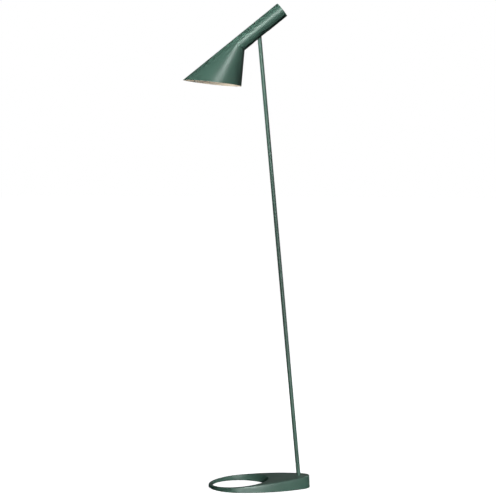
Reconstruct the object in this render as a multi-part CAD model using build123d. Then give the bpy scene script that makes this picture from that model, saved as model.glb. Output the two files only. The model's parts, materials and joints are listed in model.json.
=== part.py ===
from build123d import *
import os
from math import atan2, cos, radians, sin, sqrt, tan

# Floor lamp with a tilting shade. Millimetres, +Z up.
# The origin is on the floor, where the axis of the stem meets it. The lamp is
# symmetrical about the XZ plane: the shade points towards -X, and the thick end
# of the base is towards +X.

# ------------------------------------------------------------ driving sizes

# Base: an egg-shaped wedge in plan, with a round hole through its wide end.
base_length = 275.0
front_radius = 85.0
rear_radius = 35.0
side_radius = 285.0
stem_from_rear = 28.0
front_height = 7.4
wedge_angle = 5.5
wall_draft = 4.0
top_round = 2.5
hole_radius = 76.0
front_ring_width = 10.0
hole_round = 1.2

# Underside of the base: a pocket for the wiring, its cover and a thin pad.
pad_thickness = 1.0
pad_inset = 1.5
pocket_wall = 9.0
pocket_length = 92.0
roof_thickness = 11.0
cover_thickness = 1.5
cover_ledge = 4.0
cover_clearance = 0.2
boss_radius = 5.5
boss_from_front_wall = 8.0
rear_boss_from_stem = 11.0
rear_boss_half_spread = 24.0
cover_screw_radius = 2.0
cover_screw_head_radius = 3.6
cover_screw_length = 9.0

# Inlet for the supply cord, in the rear wall.
inlet_height = 10.5
inlet_radius = 4.5
inlet_bore_radius = 3.3
inlet_flange_radius = 6.0
inlet_flange_thickness = 1.6
inlet_flange_depth = 2.6
inlet_clearance = 0.1

# Terminal block in the pocket.
block_length = 24.0
block_width = 17.0
block_height = 9.0
block_from_stem = 32.0
terminal_pitch = 8.0
terminal_screw_radius = 1.6
terminal_screw_depth = 4.0

# Stem: a steel tube square to the top face of the base.
stem_radius = 5.5
stem_wall = 1.2
stem_clearance = 0.05
pivot_on_stem = 1238.7
foot_recess_radius = 6.4
foot_recess_depth = 1.2
washer_radius = 10.0
washer_thickness = 1.5
nut_flats = 17.0
nut_thickness = 5.0
thread_stick_out = 2.0

# Pivot: a knuckle on the stem between the two cheeks of a chassis in the head.
barrel_radius = 9.5
barrel_half_width = 9.8
sleeve_radius = 7.5
sleeve_length = 17.0
socket_depth = 9.0
friction_washer_thickness = 1.15
side_play = 0.05
cheek_thickness = 2.0
spring_washer_thickness = 0.85
spring_washer_radius = 5.5
shoulder_radius = 3.0
pivot_clearance = 0.05
bolt_thread_radius = 2.5
bolt_thread_length = 5.4
bolt_head_radius = 5.0
bolt_head_thickness = 2.4
bolt_slot = 1.2

# Head: a straight tube that runs on into a slanted cone.
tube_slope = 39.2
tube_radius = 21.0
sheet = 1.2
tube_behind_pivot = 80.3
underside_ahead_of_pivot = 65.2
cone_angle = 46.0
rim_angle = 45.0
tip_ahead_of_pivot = 242.7
nose_up_range = 60.0
nose_down_range = 15.0
slot_side_gap = 1.0
slot_end_gap = 1.6

# Chassis inside the head.
web_thickness = 1.8
web_gap = 3.3
cheek_half_length = 14.0
saddle_half_length = 10.0
saddle_half_width = 6.0
arm_half_width = 7.0
flange_radius = 13.0
flange_thickness = 2.0
nut_to_arm_gap = 0.97

# Lampholder (E27 thread), on the axis of the cone.
nipple_radius = 5.0
nipple_bore_radius = 3.5
nipple_behind_flange = 6.0
nipple_ahead_of_flange = 9.0
nipple_nut_flats = 14.0
nipple_nut_thickness = 3.5
holder_radius = 18.5
holder_wall = 2.2
holder_cap_length = 14.0
holder_skirt_length = 31.0
core_thickness = 7.0
shell_radius = 14.0
shell_thickness = 0.5
shell_length = 18.0
contact_thickness = 0.8

# Lamp bulb: a small opal globe.
bulb_cap_radius = 13.2
bulb_cap_length = 20.0
bulb_cap_wall = 0.4
bulb_insulator_height = 3.0
bulb_contact_radius = 4.8
bulb_contact_height = 1.2
globe_radius = 22.5
globe_centre_from_cap = 26.0
neck_length = 12.0
glass = 1.1

# Rear cap and push switch.
cap_recess = 0.4
cap_thickness = 1.6
cap_boss_radius = 9.5
cap_boss_length = 8.0
neck_radius = 7.0
button_radius = 5.5
button_clearance = 0.1
button_flange_radius = 6.2
button_flange_thickness = 1.5
button_proud = 0.4
button_travel = 2.0
guide_length = 6.5
switch_chamber_length = 9.0
switch_radius = 12.0
switch_length = 17.0
plunger_radius = 1.8
plunger_in_guide = 0.5
spring_radius = 3.6
spring_wire_radius = 0.35
spring_turns = 4

# Leads that stay inside the lamp.
lead_radius = 2.4
lead_play = 0.8
lead_above_cover = 2.7
lead_bend = 6.5
pivot_lead_reach = 6.0
pivot_lead_bend = 9.0
wire_radius = 1.2
wire_bend = 12.0
wire_straight = 7.0
wire_rise_length = 12.0
wire_at_switch = 7.0

# ------------------------------------------------------------ places worked out

rear_x = stem_from_rear
front_x = rear_x - base_length
front_centre_x = front_x + front_radius
rear_centre_x = rear_x - rear_radius
hole_x = front_x + front_ring_width + hole_radius

lean = radians(wedge_angle)
up_stem = Vector(-sin(lean), 0, cos(lean))
top_plane = Plane(origin=(front_x, 0, front_height), x_dir=(cos(lean), 0, sin(lean)), z_dir=up_stem)
foot_on_stem = up_stem.dot(Vector(front_x, 0, front_height))
seat_on_stem = foot_on_stem - roof_thickness
stem_bottom = seat_on_stem - washer_thickness - nut_thickness - thread_stick_out
stem_top = pivot_on_stem - sleeve_length + socket_depth
stem_bore_radius = stem_radius - stem_wall

cover_top = pad_thickness + cover_thickness
pocket_front_x = rear_x - pocket_wall - pocket_length
hole_wall_x = hole_x + hole_radius + pocket_wall
boss_places = [
    (max(hole_wall_x, pocket_front_x) + boss_from_front_wall, 0),
    (-rear_boss_from_stem, rear_boss_half_spread),
    (-rear_boss_from_stem, -rear_boss_half_spread),
]

pivot = up_stem * pivot_on_stem
head = Location(tuple(pivot), (0, -tube_slope, 0))
inner_radius = tube_radius - sheet
cheek_in = barrel_half_width + friction_washer_thickness + side_play
cheek_out = cheek_in + cheek_thickness
spring_in = cheek_out + side_play
bolt_head_in = spring_in + spring_washer_thickness

# In the head's own frame the pivot is the origin, the tube lies along X with the
# shade towards -X, and the slot is underneath.
half_cone = radians(cone_angle / 2)
apex_x = -(underside_ahead_of_pivot - 2 * tube_radius / tan(2 * half_cone))
apex = Vector(apex_x, 0, tube_radius)
cone_dir = Vector(-cos(half_cone), 0, -sin(half_cone))
rim = radians(rim_angle)
rim_normal = Vector(-sin(rim), 0, -cos(rim))
tip = Vector(-tip_ahead_of_pivot, 0, tube_radius)
web_z = barrel_radius + web_gap
nut_corner = nipple_nut_flats / 2 / cos(radians(30))
nut_back = (tube_radius + nut_corner * cos(half_cone) - web_z + nut_to_arm_gap) / sin(half_cone)
flange_at = nut_back + nipple_nut_thickness


# ------------------------------------------------------------ helpers

def on_stem(distance):
    """Plane square to the stem, this far along its axis from the floor."""
    return Plane(origin=up_stem * distance, x_dir=(cos(lean), 0, sin(lean)), z_dir=up_stem)


def on_cone(distance):
    """Plane square to the cone's axis in the head's frame, this far from the cone's apex."""
    return Plane(origin=apex + cone_dir * distance, x_dir=(0, 1, 0), z_dir=cone_dir)


def across(origin, y):
    """Plane facing +Y through a point of the XZ plane, moved to this y."""
    return Plane(origin=(origin.X, y, origin.Z), x_dir=(1, 0, 0), z_dir=(0, 1, 0))


def rod(radius, length):
    """Cylinder standing on its plane."""
    return Cylinder(radius, length, align=(Align.CENTER, Align.CENTER, Align.MIN))


def ring(outer, inner, length):
    """Cylinder with a bore right through it."""
    return rod(outer, length) - rod(inner, length)


def hex_nut(flats, bore, length):
    """Hexagon nut, round bore."""
    return extrude(RegularPolygon(flats / 2, 6, major_radius=False), length) - rod(bore, length)


def turned(points):
    """Solid of revolution from (radius, height) corners, on the Z axis."""
    outline = [(radius, 0, height) for radius, height in points]
    return revolve(make_face(Polyline(*outline, close=True)), Axis.Z)


def pair(make):
    """The same piece on both sides of the XZ plane."""
    return Compound([make(1), make(-1)])


def half_space(plane):
    """Everything in front of a plane, as far as the lamp reaches."""
    reach = pivot_on_stem
    return plane * Box(reach, reach, reach, align=(Align.CENTER, Align.CENTER, Align.MIN))


def plan_outline(inset):
    """Face in plan: the egg of the base, pulled in all round by inset."""
    span = rear_centre_x - front_centre_x
    to_front = side_radius - front_radius
    to_rear = side_radius - rear_radius
    ahead = (to_front**2 - to_rear**2 + span**2) / (2 * span)
    drop = sqrt(to_front**2 - ahead**2)
    side_centre = Vector(front_centre_x + ahead, -drop)
    front_turn = atan2(drop, -ahead)
    rear_turn = atan2(drop, span - ahead)

    def at(centre, radius, turn):
        return centre + Vector(cos(turn), sin(turn)) * (radius - inset)

    def mirrored(point):
        return Vector(point.X, -point.Y)

    shoulder = at(Vector(front_centre_x, 0), front_radius, front_turn)
    side = at(side_centre, side_radius, (front_turn + rear_turn) / 2)
    hip = at(Vector(rear_centre_x, 0), rear_radius, rear_turn)
    nose = Vector(front_x + inset, 0)
    heel = Vector(rear_x - inset, 0)
    return make_face([
        ThreePointArc(mirrored(shoulder), nose, shoulder),
        ThreePointArc(shoulder, side, hip),
        ThreePointArc(hip, heel, mirrored(hip)),
        ThreePointArc(mirrored(hip), mirrored(side), mirrored(shoulder)),
    ])


def pocket_outline(wall):
    """Face in plan: the wiring pocket behind the hole, this far from every wall."""
    behind = Pos(rear_x - wall, 0) * Rectangle(
        pocket_length + 2 * (pocket_wall - wall), 2 * side_radius, align=(Align.MAX, Align.CENTER))
    return (plan_outline(wall) & behind) - Pos(hole_x, 0) * Circle(hole_radius + wall)


def tube_along(points, radii, radius):
    """Round lead along straight runs joined by arcs, in the XZ plane."""
    path = FilletPolyline(*points, radius=radii) if radii else Polyline(*points)
    start = Plane(origin=path @ 0, z_dir=path % 0)
    return sweep(start * Circle(radius), path=path)


# ------------------------------------------------------------ base

def base_casting():
    """Die-cast wedge: drafted walls, sloping top, round hole, pocket underneath."""
    tall = front_height + base_length * tan(lean) + top_round
    drawn_in = plan_outline(tall * tan(radians(wall_draft)))
    body = Pos(0, 0, pad_thickness) * loft([plan_outline(0), Pos(0, 0, tall) * drawn_in], ruled=True)
    body -= half_space(top_plane)
    body -= Pos(hole_x, 0, 0) * rod(hole_radius, tall)
    along_stem = Axis((0, 0, 0), tuple(up_stem))
    top = body.faces().filter_by(GeomType.PLANE).sort_by(along_stem)[-1]
    body = fillet(top.outer_wire().edges(), top_round)
    top = body.faces().filter_by(GeomType.PLANE).sort_by(along_stem)[-1]
    body = fillet(top.inner_wires()[0].edges(), hole_round)

    roof = Plane(origin=up_stem * seat_on_stem, x_dir=top_plane.x_dir, z_dir=up_stem)
    bosses = Sketch() + [Pos(x, y) * Circle(boss_radius) for x, y in boss_places]
    pocket = extrude(pocket_outline(pocket_wall) - bosses, tall) - half_space(roof)
    body -= pocket
    body -= extrude(pocket_outline(pocket_wall - cover_ledge), cover_top)
    for x, y in boss_places:
        body -= Pos(x, y, cover_top) * rod(cover_screw_radius, cover_screw_length - cover_thickness)

    body -= on_stem(0) * rod(stem_radius + stem_clearance, foot_on_stem + top_round)
    body -= on_stem(foot_on_stem - foot_recess_depth) * rod(foot_recess_radius, foot_recess_depth)
    inlet = Plane(origin=(rear_x - 2 * pocket_wall, 0, inlet_height), z_dir=(1, 0, 0))
    body -= inlet * rod(inlet_radius + inlet_clearance, 3 * pocket_wall)
    mouth = Plane(origin=(rear_x - inlet_flange_depth, 0, inlet_height), z_dir=(1, 0, 0))
    body -= mouth * rod(inlet_flange_radius + inlet_clearance, pocket_wall)
    return body


def base_pad():
    """Thin pad glued under the whole casting."""
    outline = plan_outline(pad_inset) - Pos(hole_x, 0) * Circle(hole_radius + pad_inset)
    return extrude(outline, pad_thickness)


def bottom_cover():
    """Sheet-metal plate that closes the pocket, countersunk for its screws."""
    wall = pocket_wall - cover_ledge + cover_clearance
    plate = Pos(0, 0, pad_thickness) * extrude(pocket_outline(wall), cover_thickness)
    for x, y in boss_places:
        plate -= Pos(x, y, pad_thickness) * countersunk_head()
    return plate


def countersunk_head():
    """Cone of a countersunk screw, as deep as the cover."""
    return Cone(cover_screw_head_radius, cover_screw_radius, cover_thickness,
                align=(Align.CENTER, Align.CENTER, Align.MIN))


def cover_screws():
    """Three countersunk screws that hold the cover."""
    shank = cover_screw_length - cover_thickness
    screw = countersunk_head() + Pos(0, 0, cover_thickness) * rod(cover_screw_radius, shank)
    screw -= Box(2 * cover_screw_radius, 0.8, 0.9, align=(Align.CENTER, Align.CENTER, Align.MIN))
    return Compound([Pos(x, y, pad_thickness) * screw for x, y in boss_places])


def cord_inlet_bush():
    """Soft bush that lines the hole for the supply cord."""
    flange_x = rear_x - inlet_flange_depth
    body_length = flange_x - (rear_x - pocket_wall) + 1
    bush = Plane(origin=(flange_x - body_length, 0, inlet_height), z_dir=(1, 0, 0)) * rod(
        inlet_radius, body_length)
    face = Plane(origin=(flange_x, 0, inlet_height), z_dir=(1, 0, 0))
    bush += face * rod(inlet_flange_radius, inlet_flange_thickness)
    bore = Plane(origin=(flange_x - body_length, 0, inlet_height), z_dir=(1, 0, 0))
    return bush - bore * rod(inlet_bore_radius, body_length + inlet_flange_thickness)


def block_middle():
    """Middle of the terminal block's underside, on the cover."""
    return Pos(-block_from_stem - block_length / 2, 0, cover_top)


def screw_places():
    """Four places in two rows on the terminal block."""
    return GridLocations(block_length / 2, terminal_pitch, 2, 2)


def terminal_block():
    """Moulded two-pole block where the supply cord meets the stem lead."""
    block = Box(block_length, block_width, block_height, align=(Align.CENTER, Align.CENTER, Align.MIN))
    for place in screw_places():
        block -= Pos(0, 0, block_height - terminal_screw_depth) * place * rod(
            terminal_screw_radius, terminal_screw_depth)
    return block_middle() * block


def terminal_screws():
    """The block's four clamping screws."""
    length = terminal_screw_depth - 1
    screw = rod(terminal_screw_radius, length)
    low = block_height - terminal_screw_depth
    return Compound([block_middle() * Pos(0, 0, low) * place * screw for place in screw_places()])


# ------------------------------------------------------------ stem and pivot

def stem():
    """Straight steel tube from the pocket of the base to the knuckle."""
    return on_stem(stem_bottom) * ring(stem_radius, stem_bore_radius, stem_top - stem_bottom)


def stem_washer():
    """Flat washer against the roof of the pocket."""
    return on_stem(seat_on_stem - washer_thickness) * ring(washer_radius, stem_radius, washer_thickness)


def stem_lock_nut():
    """Hexagon nut that pulls the stem down into the base."""
    low = seat_on_stem - washer_thickness - nut_thickness
    return on_stem(low) * hex_nut(nut_flats, stem_radius, nut_thickness)


def stem_knuckle():
    """Turned eye on top of the stem, open at the rear so that the lead can bend."""
    knuckle = across(pivot, -barrel_half_width) * rod(barrel_radius, 2 * barrel_half_width)
    knuckle += on_stem(pivot_on_stem - sleeve_length) * rod(sleeve_radius, sleeve_length)
    knuckle -= on_stem(pivot_on_stem - sleeve_length) * rod(stem_radius, socket_depth)
    way = lead_radius + lead_play
    knuckle -= on_stem(pivot_on_stem - sleeve_length) * rod(way, sleeve_length)
    window = Box(barrel_radius + way + 1, 2 * way, 2 * barrel_radius + 2,
                 align=(Align.MIN, Align.CENTER, Align.CENTER))
    knuckle -= Pos(*pivot) * Pos(-way, 0, barrel_radius * 0.3) * window
    for side in (1, -1):
        start = barrel_half_width - bolt_thread_length if side > 0 else -barrel_half_width
        knuckle -= across(pivot, start) * rod(bolt_thread_radius, bolt_thread_length)
    return knuckle


def pivot_bolts():
    """Two shoulder bolts, one each side, that the chassis turns on."""
    def bolt(side):
        body = rod(bolt_thread_radius, bolt_thread_length)
        shoulder = bolt_head_in - barrel_half_width
        body += Pos(0, 0, bolt_thread_length) * rod(shoulder_radius, shoulder)
        body += Pos(0, 0, bolt_thread_length + shoulder) * rod(bolt_head_radius, bolt_head_thickness)
        top = bolt_thread_length + shoulder + bolt_head_thickness
        body -= Pos(0, 0, top) * Box(3 * bolt_head_radius, bolt_slot, bolt_slot)
        start = (pivot.X, side * (barrel_half_width - bolt_thread_length), pivot.Z)
        return Plane(origin=start, x_dir=(1, 0, 0), z_dir=(0, side, 0)) * body
    return pair(bolt)


def washer_pair(inner_face, thickness, outer):
    """Two washers on the pivot bolts, each starting at this distance from the middle."""
    def washer(side):
        start = (pivot.X, side * inner_face, pivot.Z)
        place = Plane(origin=start, x_dir=(1, 0, 0), z_dir=(0, side, 0))
        return place * ring(outer, shoulder_radius, thickness)
    return pair(washer)


def friction_washers():
    """Fibre washers between the knuckle and the cheeks."""
    return washer_pair(barrel_half_width, friction_washer_thickness, barrel_radius - 1)


def spring_washers():
    """Spring washers under the heads of the pivot bolts."""
    return washer_pair(spring_in, spring_washer_thickness, spring_washer_radius)


# ------------------------------------------------------------ head

def head_form(skin):
    """Tube and cone as one closed form, its surface pulled in by skin.

    Both touch one sphere, so they meet in a flat oval and run into each other along the top.
    """
    radius = tube_radius - skin
    sphere_x = apex.X - tube_radius / tan(half_cone)
    start = skin / sin(half_cone)
    tip_point = apex + cone_dir * start
    top_meet = Vector(sphere_x, 0, radius)
    low_meet = Vector(tip_point.X - 2 * radius / tan(2 * half_cone), 0, -radius)
    down = (low_meet - top_meet).normalized()
    ahead = Vector(down.Z, 0, -down.X)
    rear_end = tube_behind_pivot + skin
    tube = Plane(origin=(2 * sphere_x, 0, 0), z_dir=(1, 0, 0)) * rod(radius, rear_end - 2 * sphere_x)
    tube -= half_space(Plane(origin=top_meet, x_dir=(0, 1, 0), z_dir=ahead))
    length = tip_ahead_of_pivot + tube_radius
    cone = on_cone(start) * Cone(0, length * tan(half_cone), length,
                                 align=(Align.CENTER, Align.CENTER, Align.MIN))
    cone -= half_space(Plane(origin=top_meet, x_dir=(0, 1, 0), z_dir=-ahead))
    cone -= half_space(Plane(origin=tip + rim_normal * skin, x_dir=(0, 1, 0), z_dir=rim_normal))
    return tube + cone


def slot_reach(turn):
    """Where the stem's axis leaves the tube, along the tube, with the head turned by this much."""
    between = radians(90 - tube_slope + wedge_angle + turn)
    return tube_radius / tan(between), (stem_radius + slot_side_gap) / sin(between)


def shade():
    """Sheet-metal head: tube and slanted cone in one, with the slot for the stem."""
    form = head_form(0) - head_form(sheet)
    ahead, ahead_half = slot_reach(-nose_down_range)
    behind, behind_half = slot_reach(nose_up_range)
    first = ahead + ahead_half + slot_end_gap
    last = behind - behind_half - slot_end_gap
    half_width = stem_radius + slot_side_gap
    slot = Pos(-(first + last) / 2, 0) * SlotOverall(first - last, 2 * half_width)
    form -= Plane(origin=(0, 0, -2 * tube_radius)) * extrude(slot, 2 * tube_radius - barrel_radius)
    return form


def pivot_chassis():
    """Bent steel strip: two cheeks on the pivot, and an arm that carries the lampholder."""
    height = web_z + web_thickness
    low = -(barrel_radius + web_gap)
    body = Pos(0, 0, low) * Box(2 * cheek_half_length, 2 * cheek_out, height - low,
                                align=(Align.CENTER, Align.CENTER, Align.MIN))
    body -= Pos(0, 0, low) * Box(3 * cheek_half_length, 2 * cheek_in, web_z - low,
                                 align=(Align.CENTER, Align.CENTER, Align.MIN))
    bore = Cylinder(inner_radius, 4 * cheek_half_length, rotation=(0, 90, 0))
    saddle = Pos(0, 0, web_z) * Box(2 * saddle_half_length, 2 * saddle_half_width, tube_radius,
                                    align=(Align.CENTER, Align.CENTER, Align.MIN))
    body += saddle & bore
    flange = on_cone(flange_at) * rod(flange_radius, flange_thickness)
    arm_end = flange.bounding_box().min.X + flange_thickness
    arm = Pos(arm_end, 0, web_z) * Box(-arm_end, 2 * arm_half_width, web_thickness,
                                       align=(Align.MIN, Align.CENTER, Align.MIN))
    arm -= half_space(on_cone(flange_at + flange_thickness))
    body += arm
    body += flange
    body -= on_cone(0) * rod(nipple_radius, flange_at + 2 * flange_thickness)
    for side in (1, -1):
        middle = side * (cheek_in + cheek_out) / 2
        body -= Pos(0, middle, 0) * Cylinder(shoulder_radius + pivot_clearance, 2 * cheek_thickness,
                                             rotation=(90, 0, 0))
    return body


def lampholder_nipple():
    """Hollow threaded tube that carries the lampholder on the chassis."""
    length = nipple_behind_flange + flange_thickness + nipple_ahead_of_flange
    return on_cone(flange_at - nipple_behind_flange) * ring(nipple_radius, nipple_bore_radius, length)


def nipple_nut():
    """Thin nut behind the chassis flange."""
    return on_cone(flange_at - nipple_nut_thickness) * hex_nut(
        nipple_nut_flats, nipple_radius, nipple_nut_thickness)


holder_back = flange_at + flange_thickness
holder_joint = holder_back + holder_cap_length
core_front = holder_joint + core_thickness


def lampholder_cap():
    """Rear half of the lampholder, screwed on the nipple."""
    shoulder = holder_radius - 5
    depth = holder_cap_length
    return on_cone(holder_back) * turned([
        (nipple_radius, 0), (shoulder, 0), (holder_radius, 5), (holder_radius, depth),
        (holder_radius - holder_wall, depth), (holder_radius - holder_wall, 6),
        (shoulder - 1, holder_wall), (nipple_radius, holder_wall)])


def lampholder_skirt():
    """Front half of the lampholder, a plain round skirt."""
    return on_cone(holder_joint) * ring(holder_radius, holder_radius - holder_wall, holder_skirt_length)


def lampholder_core():
    """Ceramic core that seats in the skirt and carries the contacts."""
    fit = holder_radius - holder_wall
    return on_cone(holder_joint) * turned([
        (0, 0), (fit, 0), (fit, core_thickness), (0, core_thickness)])


def screw_shell():
    """Threaded metal shell that takes the bulb's cap."""
    return on_cone(core_front) * ring(shell_radius, shell_radius - shell_thickness, shell_length)


def centre_contact():
    """Springy tongue that meets the tip of the bulb."""
    return on_cone(core_front) * rod(bulb_contact_radius, contact_thickness)


bulb_tip = core_front + contact_thickness
bulb_cap_back = bulb_tip + bulb_contact_height + bulb_insulator_height
bulb_cap_front = bulb_cap_back + bulb_cap_length
globe_centre = bulb_cap_front + globe_centre_from_cap


def bulb_contact():
    """Solder tip of the bulb."""
    return on_cone(bulb_tip) * rod(bulb_contact_radius - 1, bulb_contact_height)


def bulb_insulator():
    """Glass bead between the tip and the cap of the bulb."""
    return on_cone(bulb_tip + bulb_contact_height) * Cone(
        bulb_contact_radius, bulb_cap_radius - 2, bulb_insulator_height,
        align=(Align.CENTER, Align.CENTER, Align.MIN))


def bulb_cap():
    """Metal screw cap of the bulb."""
    inner = bulb_cap_radius - bulb_cap_wall
    return on_cone(bulb_cap_back) * turned([
        (0, 0), (bulb_cap_radius - 2, 0), (bulb_cap_radius, 2), (bulb_cap_radius, bulb_cap_length),
        (inner, bulb_cap_length), (inner, 2 + bulb_cap_wall), (0, 2 + bulb_cap_wall)])


def bulb_form(skin):
    """Globe and neck of the bulb as one form, its surface pulled in by skin."""
    neck_top = sqrt(globe_radius**2 - (globe_centre_from_cap - neck_length) ** 2)
    neck = on_cone(bulb_cap_front) * Cone(bulb_cap_radius - skin, neck_top - skin, neck_length,
                                          align=(Align.CENTER, Align.CENTER, Align.MIN))
    return neck + on_cone(globe_centre) * Sphere(globe_radius - skin)


def bulb_glass():
    """Opal glass of the bulb, open where the cap closes it."""
    return bulb_form(0) - bulb_form(glass)


# ------------------------------------------------------------ rear cap and switch

cap_front = tube_behind_pivot - cap_recess
cap_back = cap_front - cap_thickness
shoulder_x = cap_front - guide_length
chamber_x = shoulder_x - switch_chamber_length
switch_back = cap_back - cap_boss_length - switch_length + guide_length
button_front = cap_front + button_proud
button_flange_x = shoulder_x - button_flange_thickness
plunger_back = chamber_x - plunger_in_guide


def facing_rear(x):
    """Plane square to the tube at this x of the head's frame, facing the rear."""
    return Plane(origin=(x, 0, 0), x_dir=(0, 1, 0), z_dir=(1, 0, 0))


def rear_cap():
    """Round plate pressed into the rear of the tube, with a threaded boss for the switch."""
    cap = facing_rear(cap_back) * rod(inner_radius, cap_thickness)
    cap += facing_rear(cap_back - cap_boss_length) * rod(cap_boss_radius, cap_boss_length)
    cap -= facing_rear(cap_back - cap_boss_length) * rod(neck_radius, cap_boss_length + cap_thickness)
    return cap


def switch_body():
    """Push switch: a round housing with a neck that screws into the cap's boss."""
    neck_back = cap_back - cap_boss_length
    body = facing_rear(switch_back) * rod(switch_radius, neck_back - switch_back)
    body += facing_rear(neck_back) * rod(neck_radius, cap_front - neck_back)
    body -= facing_rear(shoulder_x) * rod(button_radius + button_clearance, guide_length)
    body -= facing_rear(chamber_x) * rod(button_flange_radius + button_clearance, switch_chamber_length)
    body -= facing_rear(chamber_x - button_travel - 1) * rod(
        plunger_radius + button_clearance, button_travel + 1)
    return body


def switch_button():
    """Round push button with a flange that keeps it in the switch."""
    button = facing_rear(button_flange_x) * rod(button_radius, button_front - button_flange_x)
    button += facing_rear(button_flange_x - button_clearance) * rod(
        button_flange_radius, button_flange_thickness)
    button += facing_rear(plunger_back) * rod(plunger_radius, button_flange_x - plunger_back)
    return button


def switch_spring():
    """Coil spring that returns the button."""
    space = button_flange_x - button_clearance - chamber_x - 2 * spring_wire_radius
    coil = Helix(pitch=space / spring_turns, height=space, radius=spring_radius)
    wire = sweep(Plane(origin=coil @ 0, z_dir=coil % 0) * Circle(spring_wire_radius), path=coil)
    return facing_rear(chamber_x + spring_wire_radius) * wire


# ------------------------------------------------------------ leads

def stem_lead():
    """Lead from the terminal block, round the foot of the stem and up its bore."""
    height = cover_top + lead_above_cover
    corner = (-height * tan(lean), 0, height)
    top = up_stem * (pivot_on_stem - pivot_lead_reach)
    points = [(-block_from_stem, 0, height), corner, tuple(top)]
    return tube_along(points, lead_bend, lead_radius)


def pivot_lead():
    """Short length of the lead that bends as the head tilts."""
    start = up_stem * (pivot_on_stem - pivot_lead_reach)
    end = (head * Pos(pivot_lead_reach, 0, 0)).position
    return tube_along([tuple(start), tuple(pivot), tuple(end)], pivot_lead_bend, lead_radius)


def switch_lead():
    """Lead along the tube from the pivot to the switch."""
    return facing_rear(pivot_lead_reach) * rod(lead_radius, switch_back - pivot_lead_reach)


def holder_lead():
    """Thin lead from the switch, over the knuckle, to the lampholder."""
    height = web_z - web_gap / 2
    on_axis = (tube_radius - height) / sin(half_cone)
    turn = apex + cone_dir * on_axis
    end = apex + cone_dir * (holder_joint)
    points = [
        (switch_back, 0, wire_at_switch),
        (switch_back - wire_straight, 0, wire_at_switch),
        (switch_back - wire_straight - wire_rise_length, 0, height),
        (turn.X, 0, height),
        (end.X, 0, end.Z),
    ]
    return tube_along(points, wire_bend, wire_radius)


# ------------------------------------------------------------ write the pieces

STANDING_PIECES = [
    base_casting, base_pad, bottom_cover, cover_screws, cord_inlet_bush, terminal_block,
    terminal_screws, stem, stem_washer, stem_lock_nut, stem_knuckle, pivot_bolts,
    friction_washers, spring_washers, stem_lead, pivot_lead,
]
HEAD_PIECES = [
    shade, pivot_chassis, lampholder_nipple, nipple_nut, lampholder_cap, lampholder_skirt,
    lampholder_core, screw_shell, centre_contact, bulb_contact, bulb_insulator, bulb_cap,
    bulb_glass, rear_cap, switch_body, switch_button, switch_spring, switch_lead, holder_lead,
]

os.makedirs("parts", exist_ok=True)
for piece in STANDING_PIECES:
    export_step(piece(), f"parts/{piece.__name__}.step")
for piece in HEAD_PIECES:
    export_step(head * piece(), f"parts/{piece.__name__}.step")
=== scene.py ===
import json
from math import atan2, cos, pi, radians, sin, sqrt, tan

import bmesh
import bpy
from mathutils import Matrix, Quaternion, Vector

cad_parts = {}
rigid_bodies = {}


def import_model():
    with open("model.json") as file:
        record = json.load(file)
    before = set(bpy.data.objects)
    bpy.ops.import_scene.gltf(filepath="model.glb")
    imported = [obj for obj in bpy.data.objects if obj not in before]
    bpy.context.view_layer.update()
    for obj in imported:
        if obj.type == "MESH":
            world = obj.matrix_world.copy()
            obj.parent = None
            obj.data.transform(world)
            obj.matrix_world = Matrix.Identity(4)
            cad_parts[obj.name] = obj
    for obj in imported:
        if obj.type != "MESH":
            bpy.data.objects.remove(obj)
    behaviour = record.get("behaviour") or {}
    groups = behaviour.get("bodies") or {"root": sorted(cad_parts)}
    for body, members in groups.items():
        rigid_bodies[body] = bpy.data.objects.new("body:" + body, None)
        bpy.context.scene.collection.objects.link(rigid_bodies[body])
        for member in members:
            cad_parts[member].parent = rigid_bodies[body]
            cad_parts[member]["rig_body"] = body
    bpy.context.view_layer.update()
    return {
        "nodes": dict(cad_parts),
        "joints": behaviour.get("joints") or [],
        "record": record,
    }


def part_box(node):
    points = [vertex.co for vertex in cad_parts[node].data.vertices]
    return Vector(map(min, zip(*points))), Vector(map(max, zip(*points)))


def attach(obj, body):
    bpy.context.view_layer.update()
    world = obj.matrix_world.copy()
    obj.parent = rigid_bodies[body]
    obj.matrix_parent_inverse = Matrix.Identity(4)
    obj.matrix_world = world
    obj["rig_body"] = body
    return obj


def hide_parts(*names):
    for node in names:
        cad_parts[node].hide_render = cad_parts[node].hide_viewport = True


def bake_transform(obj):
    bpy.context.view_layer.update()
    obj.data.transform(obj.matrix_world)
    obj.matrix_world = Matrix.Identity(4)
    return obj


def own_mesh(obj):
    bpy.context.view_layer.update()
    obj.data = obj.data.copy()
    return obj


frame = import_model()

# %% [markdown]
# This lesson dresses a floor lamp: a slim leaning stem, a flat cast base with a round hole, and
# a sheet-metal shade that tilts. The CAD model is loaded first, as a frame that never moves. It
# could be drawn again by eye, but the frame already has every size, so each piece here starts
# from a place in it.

mm = 0.001
body_of = {
    node: body
    for body, nodes in frame["record"]["behaviour"]["bodies"].items()
    for node in nodes
}

# %% [markdown]
# The camera stands almost four metres away at table height, with a long lens. A short lens
# close by would also take in the whole lamp, but it would swell the near rim of the shade and
# lean the stem. The small roll and the turn to the left are those of a hand-set tripod.

# %% Camera
camera = bpy.data.objects.new("camera", bpy.data.cameras.new("camera"))
camera.data.lens = 106.9
camera.data.sensor_width = 36.0
camera.location = (-0.1093, -3.953, 0.8615)
look_down = radians(3.10)
look_left = radians(0.50)
roll = radians(0.35)
level = cos(look_down)
ahead = Vector((-sin(look_left) * level, cos(look_left) * level, -sin(look_down)))
camera.rotation_mode = "QUATERNION"
camera.rotation_quaternion = ahead.to_track_quat("-Z", "Y") @ Quaternion((0, 0, 1), roll)
bpy.context.collection.objects.link(camera)
bpy.context.scene.camera = camera
print("the camera looks along", [round(v, 3) for v in ahead])

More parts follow.
